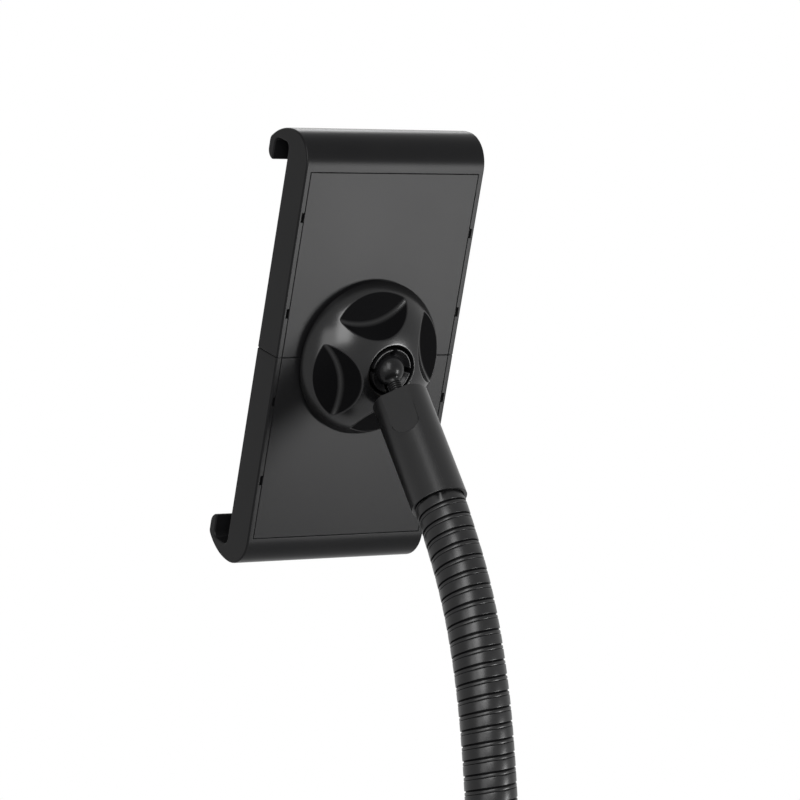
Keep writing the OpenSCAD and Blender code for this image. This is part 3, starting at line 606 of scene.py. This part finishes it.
def lobedKnob():
    size = heightKnob
    cap = size["cap"]
    bm = turned(filletLine([
        (0, 0), (size["radius"], 0, size["rimRound"]), (size["radius"], size["thick"], size["rimRound"]),
        (cap, size["thick"], size["capRound"])] + size["capLine"], 6), size["segments"], ring=False)
    # the scallops pull the rim in towards the cap
    step = 2 * pi / size["lobes"]
    for vert in bm.verts:
        reach = hypot(vert.co.x, vert.co.y)
        if reach > cap:
            angle = Vector((1, 0)).angle_signed(vert.co.to_2d())
            off = (angle + step / 2) % step - step / 2
            inside = size["scallop"] ** 2 - (size["scallopAt"] * sin(off)) ** 2
            rim = size["radius"]
            if inside > 0:
                rim = softMin(rim, size["scallopAt"] * cos(off) - sqrt(inside), size["soft"])
            vert.co.xy = vert.co.xy * (cap + (reach - cap) * (rim - cap) / (size["radius"] - cap)) / reach
    return bm


addPiece("heightKnob", lobedKnob(), lockPlace, "knob_plastic", "height_knob", ["height_knob"], 40)
print("height lock made")


# base: the pressed cover, the rubber mat under it and the collar at the foot of the pole
baseCover = dict(inside=145.3, wall=1.6, low=1.5, weightTop=15, slopeRadius=110, hubRadius=34, hubRise=12, bore=14.3,
                 rimRound=5, footRound=0.4, slopeRound=170, hubRound=70)
size = baseCover
rimTop, outside = size["weightTop"] + size["wall"], size["inside"] + size["wall"]
hubTop = rimTop + size["hubRise"]
coverLine = filletLine([
    (size["inside"], size["low"]), (outside, size["low"], size["footRound"]),
    (outside, rimTop, size["rimRound"]),
    (size["slopeRadius"], rimTop, size["slopeRound"]), (size["hubRadius"], hubTop, size["hubRound"]),
    (size["bore"], hubTop), (size["bore"], hubTop - size["wall"]),
    (size["hubRadius"], hubTop - size["wall"], size["hubRound"]),
    (size["slopeRadius"], size["weightTop"], size["slopeRound"]),
    (size["inside"], size["weightTop"], size["rimRound"] - size["wall"])], 10)
addPiece("baseCover", turned(coverLine, 192), polePlace, "powder_coat", "base", ["base_cover"])

footCollar = dict(bore=14.05, radius=21, low=28.6, top=52.6, topRound=3.5, lowRound=0.6, boreRound=0.4, groove=0.6,
                  grooveAt=39, grooveHalf=0.7, grooveEdge=0.2, grooveRound=0.25)
size = footCollar
collarLine = filletLine([
    (size["bore"], size["low"]), (size["radius"], size["low"], size["lowRound"]),
    (size["radius"], size["grooveAt"] - size["grooveHalf"], size["grooveEdge"]),
    (size["radius"] - size["groove"], size["grooveAt"], size["grooveRound"]),
    (size["radius"], size["grooveAt"] + size["grooveHalf"], size["grooveEdge"]),
    (size["radius"], size["top"], size["topRound"]), (size["bore"], size["top"], size["boreRound"])], 6)
addPiece("footCollar", turned(collarLine, 112), polePlace, "knob_plastic", "base", ["foot_collar"])

mat = dict(radius=141, thick=3, edge=0.4, margin=6, ridges=9, ridgeFrom=60, ridgeDeep=0.8, ridgeWide=3,
           ridgeSlope=0.6)
size = mat
ridgeOut = size["radius"] - size["margin"]
step = (ridgeOut - size["ridgeFrom"]) / size["ridges"]
matLine = [(0, size["thick"]), (size["radius"], size["thick"]), (size["radius"], size["edge"]),
           (size["radius"] - size["edge"], 0)]
for i in range(size["ridges"]):
    start = ridgeOut - i * step
    end = start - size["ridgeWide"]
    matLine += [(start, 0), (start - size["ridgeSlope"], size["ridgeDeep"]),
                (end + size["ridgeSlope"], size["ridgeDeep"]), (end, 0)]
matLine.append((0, 0))
addPiece("baseMat", turned(matLine, 128, ring=False), polePlace, "rubber", "base", ["base_mat"])
print("base made")


# world: plain fill light, and white to the camera and to reflections
worldLook = dict(fill=(0.34, 0.34, 0.35, 1), white=(1, 1, 1, 1))
world = bpy.data.worlds.new("studio")
bpy.context.scene.world = world
world.use_nodes = True
tree = world.node_tree
wire = Wire(tree)


def seenWhite(wire):
    # 1 for rays from the camera, reflections and clear pieces
    kinds = [wire.node("ShaderNodeLightPath", {}, {}, kind)
             for kind in ("Is Camera Ray", "Is Glossy Ray", "Is Transmission Ray")]
    return wire.sum("MAXIMUM", wire.sum("MAXIMUM", kinds[0], kinds[1]), kinds[2])


fill = wire.node("ShaderNodeBackground", {}, {"Color": worldLook["fill"], "Strength": 1.0})
white = wire.node("ShaderNodeBackground", {}, {"Color": worldLook["white"], "Strength": 1.0})
wire.node("ShaderNodeMixShader", {}, {0: seenWhite(wire), 1: fill, 2: white}).feed(
    tree.nodes["World Output"], "Surface")

# floor: pale under the stand, fading to the white of the background
floorLook = dict(radius=4.0, segments=64, colour=(0.86, 0.86, 0.86, 1), roughness=0.9, fadeFrom=0.45, fadeTo=1.5)
floorMaterial = bpy.data.materials.new("pale_floor")
floorMaterial.use_nodes = True
tree = floorMaterial.node_tree
wire = Wire(tree)
spot = wire.node("ShaderNodeTexCoord", {}, {}, "Object")
reach = wire.node("ShaderNodeVectorMath", {"operation": "LENGTH"}, {0: spot}, "Value")
fade = wire.node("ShaderNodeMapRange", {"interpolation_type": "SMOOTHSTEP"},
                 {"Value": reach, "From Min": floorLook["fadeFrom"], "From Max": floorLook["fadeTo"]})
shader = tree.nodes["Principled BSDF"]
shader.inputs["Base Color"].default_value = floorLook["colour"]
shader.inputs["Roughness"].default_value = floorLook["roughness"]
glow = wire.node("ShaderNodeEmission", {}, {"Color": worldLook["white"], "Strength": 1.0})
plain = Wire(tree, shader.outputs[0])
wire.node("ShaderNodeMixShader", {}, {0: fade * seenWhite(wire), 1: plain, 2: glow}).feed(
    tree.nodes["Material Output"], "Surface")
floorMesh = bpy.data.meshes.new("floor")
bm = bmesh.new()
bmesh.ops.create_circle(bm, cap_ends=True, segments=floorLook["segments"], radius=floorLook["radius"])
bm.to_mesh(floorMesh)
bm.free()
floorMesh.materials.append(floorMaterial)
studioFloor = bpy.data.objects.new("studioFloor", floorMesh)
bpy.context.scene.collection.objects.link(studioFloor)

# soft lights, aimed at the holder; azimuth is 0 in front and 90 on the right
softBoxes = {
    "keyBox": dict(azimuth=148, elevation=24, distance=1.5, size=(0.62, 1.3), watts=25),
    "sideBox": dict(azimuth=123, elevation=4, distance=1.6, size=(0.66, 1.1), watts=9),
    "lowBox": dict(azimuth=-143, elevation=-18, distance=1.8, size=(0.40, 0.8), watts=30),
    "frontBox": dict(azimuth=-25, elevation=40, distance=2.2, size=(1.2, 1.2), watts=18),
}
for name, box in softBoxes.items():
    azimuth, elevation = radians(box["azimuth"]), radians(box["elevation"])
    away = Vector((sin(azimuth) * cos(elevation), -cos(azimuth) * cos(elevation), sin(elevation)))
    lamp = bpy.data.lights.new(name, "AREA")
    lamp.shape = "RECTANGLE"
    lamp.size, lamp.size_y = box["size"]
    lamp.energy = box["watts"]
    softBox = bpy.data.objects.new(name, lamp)
    softBox.location = plateAt + away * box["distance"]
    softBox.rotation_euler = away.to_track_quat("Z", "Y").to_euler()
    softBox.visible_camera = False
    bpy.context.scene.collection.objects.link(softBox)

# camera at the photograph's place
view = dict(lens=183.27, sensor=36, near=0.05, far=50, offset=(977.88, 1458.27, 48.69),
            back=(0.56341, 0.82528, 0.03840))
camera = bpy.data.objects.new("camera", bpy.data.cameras.new("camera"))
camera.data.lens, camera.data.sensor_width = view["lens"], view["sensor"]
camera.data.clip_start, camera.data.clip_end = view["near"], view["far"]
camera.location = plateAt + Vector(view["offset"]) * mm
camera.rotation_euler = (-Vector(view["back"])).to_track_quat("-Z", "Y").to_euler()
bpy.context.scene.collection.objects.link(camera)
bpy.context.scene.camera = camera
bpy.context.scene.view_settings.view_transform = "Standard"
print("studio made")
